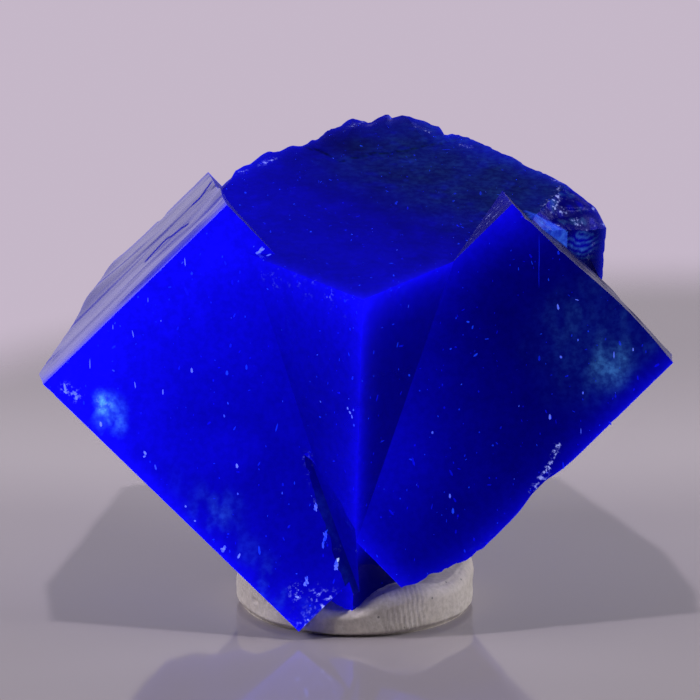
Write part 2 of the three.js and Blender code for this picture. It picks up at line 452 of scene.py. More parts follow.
def fill_face(name, outline, normal, spacing, seed):
    """Fills a flat face. Inner points stand on a hexagonal grid in the face's plane, a Delaunay
    mesh joins them to the outline, and each is raised by the face's relief and by the outline's
    own heights, weighted by nearness. Returns the inner points and the triangles, whose numbers
    count the outline first."""
    across = unit(np.cross(normal, UP))
    basis = np.stack([across, np.cross(normal, across)], axis=1)
    origin = outline.mean(axis=0)
    rim_height = (outline - origin) @ normal
    level = np.median(rim_height)
    flat = (outline - origin) @ basis
    grid = hexagonal_grid(flat.min(axis=0), flat.max(axis=0), spacing)
    grid = grid[inside_polygon(grid, flat)]
    gaps = np.linalg.norm(grid[:, None, :] - flat[None], axis=2)
    keep = gaps.min(axis=1) > 0.6 * spacing
    grid, gaps = grid[keep], gaps[keep]
    nearest = gaps.min(axis=1)
    weight = 1.0 / (gaps ** 3 + 1e-6)
    carried = weight @ (rim_height - level) / weight.sum(axis=1)
    inner = origin + grid @ basis.T + level * normal
    if name in ("broken", "top_end"):
        height = carried + broken_relief(inner, seed) * smooth_step(nearest, 0.0, 1.4)
    else:
        height = carried * np.exp(-nearest / 0.4)
        height += grown_relief(name, inner, seed) * smooth_step(nearest, 0.0, 1.2)
    inner = inner + height[:, None] * normal
    points = [Vector(p) for p in np.concatenate([flat, grid]).tolist()]
    found = delaunay_2d_cdt(points, [], [list(range(len(flat)))], 1, 1e-7)
    source = np.array([ids[0] if ids else -1 for ids in found[3]])
    triangles = source[np.array(found[2])]
    return inner, triangles[(triangles >= 0).all(axis=1)]


def distance_to_segments(points, starts, ends):
    """Distance of each point from the nearest of the straight stretches between starts and ends."""
    best = np.full(len(points), 50.0)
    for a, b in zip(starts, ends):
        span = b - a
        t = np.clip((points - a) @ span / (span @ span), 0.0, 1.0)
        best = np.minimum(best, np.linalg.norm(points - a - t[:, None] * span, axis=1))
    return best


def drawn_outline(points, flat):
    """The specimen's own outline. What is near the top's back rim moves up or down its plane to a
    scalloped line, the left crystal's lower left side is splayed, the right crystal's upper right
    side is pushed out behind its front edge, and worn places swell or sink round their centres."""
    loop = flat.loops[flat.names.index("top")]
    rim = [(flat.corners[a], flat.corners[b]) for a, b in zip(loop, loop[1:] + loop[:1])]
    rim = [(a, b) for a, b in rim if min(a[1], b[1]) > BACK_RIM_Y]
    distance = distance_to_segments(points, *zip(*rim))
    up_plane = unit(np.cross(MIDDLE_AXES[:, 2], SEEN_RIGHT))
    x, shift = np.transpose(RIM_OUTLINE)
    move = np.interp(points[:, 0], x, shift) * np.exp(-(distance / RIM_REACH) ** 2)
    points = points + move[:, None] * up_plane
    q = in_twin(points)
    splay = LEFT_SPLAY * smooth_step(q[:, 1], 12.4, LEFT_HIGH[1] - 0.3)
    splay *= np.clip((LEFT_HIGH[0] - q[:, 0]) / (LEFT_HIGH[0] - LEFT_LOW[0]), 0.0, 1.0)
    ledge = RIGHT_LEDGE * smooth_step(q[:, 1], RIGHT_LOW[1] + 0.9, RIGHT_LOW[1])
    ledge *= smooth_step(q[:, 2], RIGHT_LOW[2], RIGHT_LOW[2] + 5.0) * smooth_step(q[:, 0], 5.0, 9.0)
    points = points + (splay - ledge)[:, None] * TWIN_AXES[:, 1]
    for centre, radius, push in SWELLS:
        weight = np.exp(-(np.linalg.norm(points - np.array(centre), axis=1) / radius) ** 2)
        points = points + weight[:, None] * np.array(push)
    return points


def crystal_surface():
    """The whole surface of the crystals. Each flat face's edges are cut into short steps that its
    neighbour shares, and each face is filled on its own. Returns points, triangles, the number of
    the flat face that each triangle lies on, and the flat faces themselves."""
    flat = flat_faces("fluorite_crystals")
    flat.names = face_names(flat)
    flat.rough = ~is_grown(flat.normals) | ((flat.normals @ MIDDLE_AXES)[:, :2].min(axis=1) < -0.99)
    flat.rough &= np.array(flat.names) != "groove"
    edge_spacing = np.where(flat.normals @ TOWARDS_VIEWER > 0.05, FINE, COARSE)
    fill_spacing = np.where(np.isin(flat.names, ("top_end", "right_end")), FINEST, edge_spacing)
    streaked = np.isin(flat.names, STREAKED_SIDES)
    blocks, count = [flat.corners], len(flat.corners)
    along = {}
    for start, end, faces, convex in flat.edges:
        depth = SHALLOW_BITES if streaked[faces].any() else 1.0
        a, b = flat.corners[start], flat.corners[end]
        blocks.append(edge_points(a, b, faces, convex, edge_spacing[faces].min(), depth, flat))
        ids = list(range(count, count + len(blocks[-1])))
        along[start, end], along[end, start] = ids, ids[::-1]
        count += len(ids)
    rims = np.concatenate(blocks)
    triangles, owner = [], []
    for number, (name, loop) in enumerate(zip(flat.names, flat.loops)):
        outline = []
        for start, end in zip(loop, loop[1:] + loop[:1]):
            outline += [start, *along[start, end]]
        inner, filled = fill_face(
            name, rims[outline], flat.normals[number], fill_spacing[number], FACE_SEED + number
        )
        ids = np.array(outline + list(range(count, count + len(inner))))
        triangles.append(ids[filled])
        owner.append(np.full(len(filled), number))
        blocks.append(inner)
        count += len(inner)
    points = drawn_outline(np.concatenate(blocks), flat)
    return points, np.concatenate(triangles), np.concatenate(owner), flat


# The finish of each face


def near(distance, reach):
    """1 at no distance, falling away exponentially over this reach."""
    return np.exp(-np.clip(distance, 0.0, None) / reach)


def spot(points, centre, radius):
    """1 at the centre and 0 past the radius, smoothly."""
    return smooth_step(np.linalg.norm(points - np.asarray(centre), axis=1), radius, 0.0)


def spots(points, level, places):
    """Sum of soft spots of different radius and amount, all at this third coordinate."""
    return sum(amount * spot(points, (x, y, level), radius) for x, y, radius, amount in places)


def on_sheen_panel(points):
    """1 on the cleavage panel, where a sheen is painted, and 0 off it."""
    return inside_polygon(as_seen(points), np.array(SHEEN_PANEL)).astype(float)


def on_crack(points):
    """1 along the thin cracks of the left crystal's side and 0 off them."""
    gaps = [distance_to_segments(as_seen(points), line[:-1], line[1:]) for line in SIDE_CRACKS]
    return smooth_step(np.min(gaps, axis=0), 0.08, 0.02)


def satin(points):
    """Uneven roughness of the streaked sides: long streaks, and finer ones round them."""
    streaks = 0.26 * patches(along_twin(points, 3.5), 2.2, 3, 0.15, 0.9, seed=74)
    return streaks + 0.08 * fractal(along_twin(points, 3.0), 1.6, 3, seed=75)


def left_finish(at):
    """The left crystal's front: glow that falls away from its upper left side, bands along the lower
    sides, veils and crushed places by the left corner and the foot, and a thin haze between."""
    x, y = at.q[:, 0], at.q[:, 1]
    inside, to_left, to_right = np.clip(x - LEFT_LOW[0], 0.0, None), LEFT_HIGH[1] - y, LEFT_HIGH[0] - x
    glow = 0.28 + 0.74 * np.exp(-(inside / 9.5) ** 1.3)
    glow += 0.22 * near(to_left, 3.5) + 0.30 * near(to_left, 0.4)
    glow += 0.20 * near(to_right, 2.0) * smooth_step(y, 14.0, 18.5)
    glow += 0.10 * smooth_step(value_noise(at.points, 4.5, seed=95), 0.1, 0.8)
    haze = smooth_step(y, 16.5, 18.6) * smooth_step(y, 19.75, 18.8) * smooth_step(x, -2.0, 6.0)
    veil = (spots(at.q, LEFT_LOW[2], LEFT_VEILS) + 0.04 * haze) * at.wisps
    bruise = spots(at.q, LEFT_LOW[2], LEFT_BRUISES) + 0.2 * at.torn
    bruise += 0.9 * near(to_right, 0.30) * smooth_step(y, 15.6, 16.6)
    return {"glow": glow, "veil": veil, "bruise": bruise}


def right_finish(at):
    """The right crystal's front: bands of glow along three sides, one soft patch and one by the upper
    corner, darker to the far right, veils along the right end, and the ragged strip."""
    x, y = at.q[:, 0], at.q[:, 1]
    glow = 0.19 + 0.50 * near(x - RIGHT_LOW[0], 1.3) + 0.60 * near(RIGHT_HIGH[0] - x, 0.8)
    glow += 0.55 * near(RIGHT_HIGH[1] - y, 0.9) + 0.20 * np.exp(-((x - 10.0) ** 2 + (y - 7.0) ** 2) / 50.0)
    glow += 0.45 * np.exp(-((x - 3.2) ** 2 + (y + 12.0) ** 2) / 7.0)
    glow *= 1.0 - 0.35 * smooth_step(y - 1.6 * x, -8.0, -20.0)
    veil = spots(at.q, RIGHT_LOW[2], RIGHT_VEILS) * (1.0 - 0.8 * smooth_step(x, 17.2, 18.4))
    lower = smooth_step(y, -1.6, 0.0)
    strip = distance_to_segments(at.q, RAGGED_STRIP[:-1], RAGGED_STRIP[1:]) / (0.16 + 0.16 * lower)
    bruise = (0.85 - 0.3 * lower) * smooth_step(strip, 1.3, 0.5) + 0.3 * at.torn
    return {"glow": glow, "veil": veil * (0.65 * at.wisps + 0.3), "bruise": bruise}


def middle_left_finish(at):
    """The middle crystal's left face: glow below the top and beside the front edge, a little less of it
    low down, and a painted highlight under the top: a broken line of pale specks in place of a faint
    reflection along the edge."""
    back, down = -at.p[:, 1], -at.p[:, 2]
    glow = 0.38 + 0.62 * near(down, 3.0) + 0.40 * near(back, 0.8)
    glow -= 0.08 * smooth_step(back, 1.5, 5.0) * smooth_step(down, 4.0, 12.0)
    # Painted highlight: a broken line of pale specks just under the top stands in for a faint reflection
    # along the edge.
    line = down - 0.9 - 0.3 * fractal(at.points, 1.5, 2, seed=69)
    painted_highlight = np.exp(-(line / 0.5) ** 2) * near(2.5 - back, 1.0) * patches(at.points, 0.8, 3, 0.1, 0.8, seed=68)
    return {"glow": glow, "bruise": 0.4 * at.torn + 0.5 * painted_highlight}


def middle_right_finish(at):
    """The middle crystal's right face: glow below the top, beside the front edge and round the
    corner, and hardly any at the foot."""
    back, down = -at.p[:, 0], -at.p[:, 2]
    glow = 0.15 + 0.80 * near(down, 1.2) + 0.60 * near(back, 0.65) + 0.30 * near(np.hypot(back, down), 3.0)
    return {"glow": glow * (1.0 - 0.72 * smooth_step(down, 19.0, 21.0))}


def top_finish(at):
    """The top: glow that falls away from the left front edge, bands along both front edges and the back
    left side, faint mottling, a painted sheen on the cleavage panel, a dark line of painted shade along
    the slab's scarp, and a thin haze behind."""
    from_left, from_right = -at.p[:, 0], -at.p[:, 1]
    glow = 0.15 + 0.40 * smooth_step(from_left, 20.0, 3.0) + 0.5 * near(from_left, 0.6)
    glow += 0.05 * fractal(at.points, 1.6, 3, seed=97) + 0.08 * patches(at.points, 0.9, 2, 0.45, 0.8, seed=98)
    # The cleavage panel gets more glow and veil: a painted sheen.
    glow += 0.5 * near(from_right, 0.5) * smooth_step(from_left, 10.0, 7.0) + 0.42 * on_sheen_panel(at.points)
    glow += 0.22 * near(TOP_DEPTH - from_right, 2.5) * smooth_step(from_left, 19.0, 12.0)
    # Painted shade: less glow in a dark line along the slab's scarp, where its crack lies.
    glow *= 1.0 - 0.9 * np.exp(-((top_step(at.points) / STEP_HEIGHT - 0.5) / 0.45) ** 2)
    haze = 0.07 * smooth_step(from_left, 11.0, 21.0) * smooth_step(from_right, 21.0, 15.0)
    veil = (haze + 0.25 * on_sheen_panel(at.points)) * (0.5 + 0.5 * at.wisps)
    return {"glow": glow, "veil": veil, "bruise": 0.5 * at.torn}


def left_band_finish(at):
    """The left crystal's upper left side: glow along its front edge, streaks and cracks, satin, with
    crushed places at the left corner."""
    behind = at.q[:, 2] - LEFT_LOW[2]
    crack = on_crack(at.points)
    glow = 0.15 + 0.24 * near(behind, 9.0) + 0.80 * near(behind, 1.5) + 0.20 * crack
    glow += 0.10 * patches(along_twin(at.points, 3.5), 2.2, 3, 0.1, 0.8, seed=74)
    bruise = 0.4 * smooth_step(at.q[:, 1], 17.5, 19.6) * patches(at.points, 2.0, 3, -0.1, 0.7, seed=77)
    dull = 0.19 + satin(at.points) + 0.6 * crack + 0.22 * near(behind, 2.5)
    return {"glow": glow, "bruise": bruise, "dull": dull}


def right_side_finish(at):
    """The right crystal's upper right side: dark and satin, a little lighter at its rim."""
    return {"glow": 0.05 + 0.10 * near(at.rim, 0.4), "dull": 0.36 + satin(at.points)}


def right_band_finish(at):
    """The right crystal's upper left side, and the sliver beside the top: dark and dull, with fine
    white lines."""
    lines = 0.8 * patches(along_twin(at.points, 10.0), 0.5, 2, 0.45, 0.8, seed=76)
    return {"glow": 0.16 + 0.10 * near(at.rim, 0.8), "bruise": lines, "dull": 0.75}


def right_end_finish(at):
    """The right face's end behind the right crystal: the cleavage panel with its painted sheen, ripples in
    rings beside it, white patches on them, and a dark clear corner."""
    sheen_panel, seen = on_sheen_panel(at.points), as_seen(at.points)
    here = seen - np.array(RIPPLES)
    rings = 11.0 * np.hypot(0.7 * here[:, 0], 1.4 * here[:, 1] - 0.9)
    rings += 4.0 * fractal(at.points, 1.0, 3, seed=63)
    rippled = spot(seen, RIPPLES, 1.7)
    # The panel's added glow and veil are a painted sheen.
    glow = 0.06 + 0.32 * sheen_panel + 0.26 * spot(seen, RIPPLES, 1.4)
    glow *= 1.0 - 0.6 * spot(seen, CLEAR_CORNER, 1.3)
    veil = 0.26 * sheen_panel + 0.28 * smooth_step(np.sin(rings), -0.2, 0.9) * rippled
    bruise = 0.4 * patches(at.points, 1.0, 3, 0.2, 0.8, seed=66) * rippled
    return {"glow": glow, "veil": veil, "bruise": bruise}


def top_end_finish(at):
    """The broken end of the top: the panel's painted sheen, and patches of glow, veil and crushed white."""
    sheen_panel = on_sheen_panel(at.points)
    # Painted sheen on the cleavage panel: more glow and veil there.
    glow = 0.10 + 0.32 * sheen_panel + 0.10 * near(at.rim, 0.6)
    glow += 0.16 * patches(at.points, 0.8, 3, 0.2, 0.9, seed=96)
    veil = 0.26 * sheen_panel + 0.16 * patches(at.points, 0.7, 3, 0.1, 0.8, seed=67)
    bruise = 0.5 * patches(at.points, 0.8, 3, 0.3, 0.8, seed=62) * (1.0 - sheen_panel)
    return {"glow": glow, "veil": veil, "bruise": bruise, "dull": 0.3}


def groove_finish(at):
    """The groove's floor: dark, a little lighter at its rim."""
    return {"glow": 0.24 + 0.10 * near(at.rim, 0.5)}


def side_finish(at):
    """Any other cube face: dull, uneven, lighter at its rim, and dark low on the left crystal."""
    glow = 0.22 + 0.10 * fractal(at.points, 8.0, 2, seed=93) + 0.20 * near(at.rim, 0.8)
    glow *= 1.0 - 0.6 * smooth_step(at.q[:, 0], 12.5, 14.2) * smooth_step(at.q[:, 1], 12.6, 13.6)
    return {"glow": glow, "dull": 0.62}


def broken_finish(at):
    """Any other broken face: dark, frosted, faintly veiled, with crushed patches."""
    glow = 0.12 + 0.05 * fractal(at.points, 5.0, 2, seed=94) + 0.06 * near(at.rim, 0.5)
    bruise = 0.12 * patches(at.points, 2.5, 3, 0.2, 0.9, seed=62)
    return {"glow": glow, "veil": 0.015 * at.wisps, "bruise": bruise, "dull": 0.34}


# Each face's name is that of its finish, without the last word.
FINISHES = {
    finish.__name__.removesuffix("_finish"): finish
    for finish in (
        left_finish, right_finish, middle_left_finish, middle_right_finish, top_finish, left_band_finish,
        right_side_finish, right_band_finish, right_end_finish, top_end_finish, groove_finish, side_finish,
        broken_finish,
    )
}
FINISHES["grown_over"] = right_band_finish


def face_finish(name, points, rim, chipped):
    """The named face's stored values. Its formula reads the places in both frames, the distance
    from the rim, wisps for its veils and torn slivers along stretches that border a break. The
    glow has a grain on every face, and each value is held within its limits."""
    upright = points * np.array([1.0, 1.0, 0.4])
    at = SimpleNamespace(points=points, p=in_middle(points), q=in_twin(points), rim=rim)
    at.wisps = patches(upright, 0.9, 4, -0.3, 0.9, seed=61)
    at.torn = smooth_step(chipped, 0.30, 0.05) * patches(points, 1.6, 2, 0.15, 0.6, seed=64)
    finish = FINISHES[name](at)
    finish["glow"] *= 1.0 + 0.07 * fractal(points, 1.2, 3, seed=91) + 0.10 * fractal(points, 6.0, 2, seed=92)
    return {
        field: np.clip(finish.get(field, plain), low, high) for field, (low, high, plain) in FIELDS.items()
    }


# Meshes and nodes


def new_mesh_piece(name, points, faces, material):
    """A mesh object at the origin with these points, given in millimetres."""
    mesh = bpy.data.meshes.new(name)
    mesh.from_pydata((points * MM).tolist(), [], faces)
    mesh.materials.append(material)
    mesh.validate()
    mesh.update()
    piece = bpy.data.objects.new(name, mesh)
    bpy.context.scene.collection.objects.link(piece)
    return piece


def shade_smooth(piece, sharp_degrees):
    """Smooth shading, with the edges steeper than this angle kept sharp."""
    piece.data.polygons.foreach_set("use_smooth", np.ones(len(piece.data.polygons), bool))
    piece.data.set_sharp_from_angle(angle=np.radians(sharp_degrees))


def set_corner_value(piece, name, values):
    """Stores one number for each corner of each face."""
    piece.data.attributes.new(name, "FLOAT", "CORNER").data.foreach_set("value", values.astype(np.float32))


def set_inputs(node, inputs):
    """Sets the node's inputs, or links them where the value is another node's output."""
    for key, value in inputs.items():
        if isinstance(value, bpy.types.NodeSocket):
            node.id_data.links.new(value, node.inputs[key])
        else:
            node.inputs[key].default_value = value
    return node


def add_node(tree, kind, inputs=None, **settings):
    """A node of this kind, with its settings and its inputs."""
    node = tree.nodes.new("ShaderNode" + kind)
    for key, value in settings.items():
        setattr(node, key, value)
    return set_inputs(node, inputs or {})


def math_node(tree, operation, a, b=0.0, clamp=False):
    """The result of a sum, difference or the like of two numbers."""
    return add_node(tree, "Math", {0: a, 1: b}, operation=operation, use_clamp=clamp).outputs[0]


def product(tree, a, b):
    """Two numbers multiplied."""
    return math_node(tree, "MULTIPLY", a, b)


def colour_mix(tree, amount, a, b, blend="MIX"):
    """Two colours mixed by an amount. Each colour is a node's output or three numbers."""
    a, b = ((*colour, 1.0) if isinstance(colour, tuple) else colour for colour in (a, b))
    mix = add_node(tree, "Mix", data_type="RGBA", blend_type=blend)
    return set_inputs(mix, {0: amount, 6: a, 7: b}).outputs[2]


def value_range(tree, value, low, high, out_low=0.0, out_high=1.0):
    """A number moved from one range to another, smoothly and held at the ends."""
    inputs = {0: value, 1: low, 2: high, 3: out_low, 4: out_high}
    return add_node(tree, "MapRange", inputs, interpolation_type="SMOOTHSTEP").outputs[0]


def noise(tree, place, cell, detail=3.0, roughness=0.55):
    """Noise whose patches are about this many millimetres across."""
    inputs = {"Vector": place, "Scale": 1.0 / (cell * MM), "Detail": detail, "Roughness": roughness}
    return add_node(tree, "TexNoise", inputs).outputs[0]


def bump(tree, height, strength):
    """Shading grain from a height between 0 and 1, over a twentieth of a millimetre."""
    inputs = {"Height": height, "Strength": strength, "Distance": 0.05 * MM}
    return add_node(tree, "Bump", inputs).outputs[0]


def attribute(tree, name):
    """The number stored under this name on the mesh."""
    return add_node(tree, "Attribute", attribute_name=name).outputs["Fac"]


def start_material(name):
    """An empty node material. Returns it, its tree and the object's coordinates."""
    material = bpy.data.materials.new(name)
    material.use_nodes = True
    tree = material.node_tree
    tree.nodes.clear()
    return material, tree, add_node(tree, "TexCoord").outputs["Object"]


def add_shader(tree, inputs, **more):
    """The material's shader with these inputs, and its output, which may have a volume as well."""
    shader = add_node(tree, "BsdfPrincipled", inputs)
    add_node(tree, "OutputMaterial", {"Surface": shader.outputs[0], **more})


def fluorite_material():
    """Clear body with strong absorption of red, green and some blue, and a blue fluorescence that
    leaves through the faces. Veils and bruises are paler and rougher."""
    material, tree, place = start_material("fluorite")
    glow, veil, bruise, dull = (attribute(tree, name) for name in FIELDS)
    fine = noise(tree, place, 0.45, 4.0, 0.6)
    speckle = noise(tree, place, 0.28, 3.0, 0.65)
    mottled = product(tree, glow, value_range(tree, fine, 0.3, 0.7, 0.9, 1.08))
    blue = colour_mix(tree, 1.0, (0.004, 0.002, 1.0), mottled, "MULTIPLY")
    cloudy = product(tree, veil, value_range(tree, fine, 0.35, 0.7, 0.35, 1.2))
    pale = colour_mix(tree, 1.0, (0.07, 0.28, 0.58), cloudy, "MULTIPLY")
    crushed = product(tree, bruise, value_range(tree, speckle, 0.52, 0.66))
    sparkle = colour_mix(tree, crushed, (0.0, 0.0, 0.0), (0.35, 0.42, 0.85))
    opaque = product(tree, crushed, 0.8)
    frosting = product(tree, bruise, 0.35)
    absorbing = {"Color": (0.0, 0.22, 0.38, 1.0), "Density": 1200.0}
    add_shader(tree, {
        "Base Color": colour_mix(tree, crushed, (0.10, 0.14, 0.75), (0.75, 0.8, 0.95)),
        "Emission Color": colour_mix(tree, 1.0, colour_mix(tree, 1.0, blue, pale, "ADD"), sparkle, "ADD"),
        "Emission Strength": 1.0,
        "IOR": 1.434,
        "Specular Tint": (0.03, 0.03, 0.3, 1.0),
        "Transmission Weight": math_node(tree, "SUBTRACT", 1.0, opaque, True),
        "Roughness": math_node(tree, "ADD", dull, frosting, True),
        "Normal": bump(tree, fine, 0.03),
    }, Volume=add_node(tree, "VolumeAbsorption", absorbing).outputs[0])
    return material


def make_crystals(points, triangles, owner, flat):
    """The three crystals as one dense surface, with each face's finish stored on it. A face's rim is
    its convex edges, and it is torn along those of them that border a rough face."""
    piece = new_mesh_piece("fluorite_crystal_group", points, triangles.tolist(), fluorite_material())
    place = points[triangles.reshape(-1)]
    face_of_corner = np.repeat(owner, 3)
    values = {field: np.zeros(len(place)) for field in FIELDS}
    for number, name in enumerate(flat.names):
        chosen = face_of_corner == number
        own = [edge for edge in flat.edges if number in edge[2] and edge[3]]
        torn = [edge for edge in own if flat.rough[edge[2]].any()]
        ends = ([flat.corners[[edge[end] for edge in some]] for end in (0, 1)] for some in (own, torn))
        rim, chipped = (distance_to_segments(place[chosen], starts, stops) for starts, stops in ends)
        for field, value in face_finish(name, place[chosen], rim, chipped).items():
            values[field][chosen] = value
    for field, value in values.items():
        set_corner_value(piece, field, value)
    shade_smooth(piece, 24.0)
    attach(piece, "root")
    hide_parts("fluorite_crystals")


def spindles(centres, normals, along, lengths, widths):
    """Tiny closed slivers: along each axis the section grows from a point to full width at the
    middle and back to a point, with four corners round it. Returns points and triangles."""
    stations = np.array([-0.5, -0.25, 0.25, 0.5])
    girth = np.array([0.0, 1.0, 0.8, 0.0])
    turn = np.arange(4) * np.pi / 2.0
    across = np.cross(normals, along)
    ring = np.cos(turn)[:, None, None] * across + 0.5 * np.sin(turn)[:, None, None] * normals
    rows = [
        centres + t * lengths[:, None] * along + 0.5 * g * widths[:, None] * ring
        for t, g in zip(stations, girth)
    ]
    points = np.concatenate([rows[0][:1], rows[1], rows[2], rows[3][:1]]).transpose(1, 0, 2)
    k = np.arange(4)
    n = (k + 1) % 4
    fan = np.stack([0 * k, 1 + n, 1 + k], axis=1)
    low = np.stack([1 + k, 1 + n, 5 + n], axis=1)
    high = np.stack([1 + k, 5 + n, 5 + k], axis=1)
    cap = np.stack([5 + k, 5 + n, 9 + 0 * k], axis=1)
    one = np.concatenate([fan, low, high, cap])
    faces = one[None] + 10 * np.arange(len(centres))[:, None, None]
    return points.reshape(-1, 3), faces.reshape(-1, 3)


def tilted(normals, tilt):
    """Directions in faces with these normals, tilted from upright by these angles."""
    upright = unit(UP - normals * normals[:, 2:])
    return np.cos(tilt)[:, None] * upright + np.sin(tilt)[:, None] * np.cross(normals, upright)


def scattered_flecks(rng, name, count, points, triangles, owner, flat):
    """Flecks at random over the named face, even in area. Most stand upright, some lie across, and
    their sizes spread round a tenth of a millimetre. Returns what spindles takes, and tones."""
    mine = np.isin(owner, np.flatnonzero(np.array(flat.names) == name))
    a, b, c = points[triangles[mine]].transpose(1, 0, 2)
    area = np.linalg.norm(np.cross(b - a, c - a), axis=1)
    chosen = rng.choice(len(area), count, p=area / area.sum())
    share = rng.dirichlet((1.0, 1.0, 1.0), count)
    places = share[:, :1] * a[chosen] + share[:, 1:2] * b[chosen] + share[:, 2:] * c[chosen]
    normals = flat.normals[owner[mine][chosen]]
    tilt = rng.normal(0.0, 0.35, count) + (rng.random(count) < 0.15) * np.pi / 2.0
    size = np.exp(rng.normal(0.0, 0.45, count))
    centres = places - (0.10 + 0.15 * rng.random(count))[:, None] * normals
    lengths = np.clip(0.14 * size * np.exp(rng.normal(0.0, 0.4, count)), 0.06, 0.7)
    tones = rng.beta(0.8, 6.0, count) if name in ("right", "top") else rng.beta(0.9, 4.5, count)
    return centres, normals, tilted(normals, tilt), lengths, np.clip(0.07 * size, 0.04, 0.16), tones


def marked_fleck(rng, name, mark, flat):
    """One mark at its own place: a single sliver, or a loose row of splinters where it is wide.
    Returns what spindles takes, and tones."""
    *place, tilt, length, width, tone = mark
    axes, fixed, _, level = CUBE_FACES[name]
    splintered = width >= SPLINTERED_WIDTH
    count = SPLINTERS if splintered else 1
    lean, aside = splintered * rng.standard_normal((2, count))
    shares = [rng.uniform(*limits, count) for limits in SPLINTER_SHARES] if splintered else np.ones((3, 1))
    normals = np.repeat(flat.normals[flat.names.index(name)][None], count, axis=0)
    line = tilted(normals, np.full(count, np.radians(tilt)))
    centre = FRONT_CORNER + axes @ np.insert(place, fixed, level) - MARK_DEPTH * normals
    shift = splintered * np.linspace(-0.33, 0.33, count)
    centres = centre + (shift * length)[:, None] * line
    centres += (0.22 * width * aside)[:, None] * np.cross(normals, line)
    along = tilted(normals, np.radians(tilt) + 0.45 * lean)
    return centres, normals, along, length * shares[0], width * shares[1], tone * shares[2]


def fleck_material():
    """Deep blue to nearly white by each fleck's own tone, and it glows a little."""
    material, tree, place = start_material("sealed flecks")
    tone = attribute(tree, "tone")
    deep = colour_mix(tree, value_range(tree, tone, 0.0, 0.45), (0.002, 0.003, 0.42), (0.02, 0.13, 0.85))
    colour = colour_mix(tree, value_range(tree, tone, 0.3, 0.9), deep, (0.62, 0.72, 1.0))
    add_shader(tree, {
        "Base Color": colour_mix(tree, noise(tree, place, 0.2), colour, (0.02, 0.05, 0.5)),
        "Emission Color": colour,
        "Emission Strength": 0.85,
        "Roughness": 0.4,
    })
    return material


def make_flecks(points, triangles, owner, flat):
    """Small bright slivers sealed just under the front faces: hollows and crystals that the growing
    faces closed over. Their tone runs from deep blue to nearly white."""
    rng = np.random.default_rng(FLECK_SEED)
    groups = [
        scattered_flecks(rng, name, count, points, triangles, owner, flat)
        for name, count in FLECK_COUNTS.items()
    ]
    groups += [marked_fleck(rng, name, mark, flat) for name, marks in MARKS for mark in marks]
    *parts, tones = (np.concatenate(each) for each in zip(*groups))
    flecks, faces = spindles(*parts)
    piece = new_mesh_piece("sealed_flecks", flecks, faces.tolist(), fleck_material())
    set_corner_value(piece, "tone", np.repeat(tones, faces.size // len(tones)))
    shade_smooth(piece, 60.0)
    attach(piece, "root")


# The putty pad


def lowest_crystal(points):
    """Height of the lowest crystal surface over each place: where the upright line through it
    crosses each triangle of the crystals, the smallest of the heights."""
    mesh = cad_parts["fluorite_crystals"].data
    mesh.calc_loop_triangles()
    corners = np.array([v.co for v in mesh.vertices]) / MM
    lowest = np.full(len(points), 99.0)
    for a, b, c in corners[np.array([t.vertices for t in mesh.loop_triangles])]:
        sides = np.stack([b - a, c - a])
        if abs(np.linalg.det(sides[:, :2])) < 1e-6:
            continue
        share = (points - a)[:, :2] @ np.linalg.inv(sides[:, :2])
        inside = (share > -1e-4).all(axis=1) & (share.sum(axis=1) < 1.0001)
        lowest = np.where(inside, np.minimum(lowest, a[2] + share @ sides[:, 2]), lowest)
    return lowest


def held_below(points):
    """Places that reach into the crystals, lowered to just below them."""
    points = points.reshape(-1, 3).copy()
    points[:, 2] = np.minimum(points[:, 2], lowest_crystal(points) - PAD_CONTACT_GAP)
    return points


def pad_top_height(points):
    """Height of the pad's top: a plane parallel to the middle crystal's underside, a little up its
    sides, with smooth noise and rounded humps."""
    normal = MIDDLE_AXES[:, 2]
    x, y = points[:, 0], points[:, 1]
    level = MIDDLE_FOOT + PAD_SINK - (x - FRONT_CORNER[0]) * normal[0] - (y - FRONT_CORNER[1]) * normal[1]
    height = FRONT_CORNER[2] + level / normal[2] + 0.16 * fractal(points * (1.0 - UP), 4.0, 3, seed=81)
    for middle_x, middle_y, across, deep, rise in PAD_HUMPS:
        height += rise * np.exp(-((x - middle_x) ** 2 / across + (y - middle_y) ** 2 / deep))
    return height


def finger_ridges(angle, height):
    """Raised lines left by a fingertip: waves round the wall, bent with height, inside patches."""
    bend = 0.035 * np.sin(0.9 * height - 0.4) + 0.004 * np.sin(5.0 * height + 9.0 * angle)
    clear = smooth_step(np.abs(angle - RIDGE_MIDDLE), RIDGE_HALF, 0.55 * RIDGE_HALF)
    faint = smooth_step(np.abs(angle - 0.92), 0.34, 0.12) + smooth_step(np.abs(angle + 0.95), 0.5, 0.2)
    back = smooth_step(np.abs(np.abs(angle) - 2.5), 0.6, 0.2)
    return (0.034 * clear + 0.006 * faint + 0.004 * back) * np.cos(RIDGE_WAVES * (angle + bend))


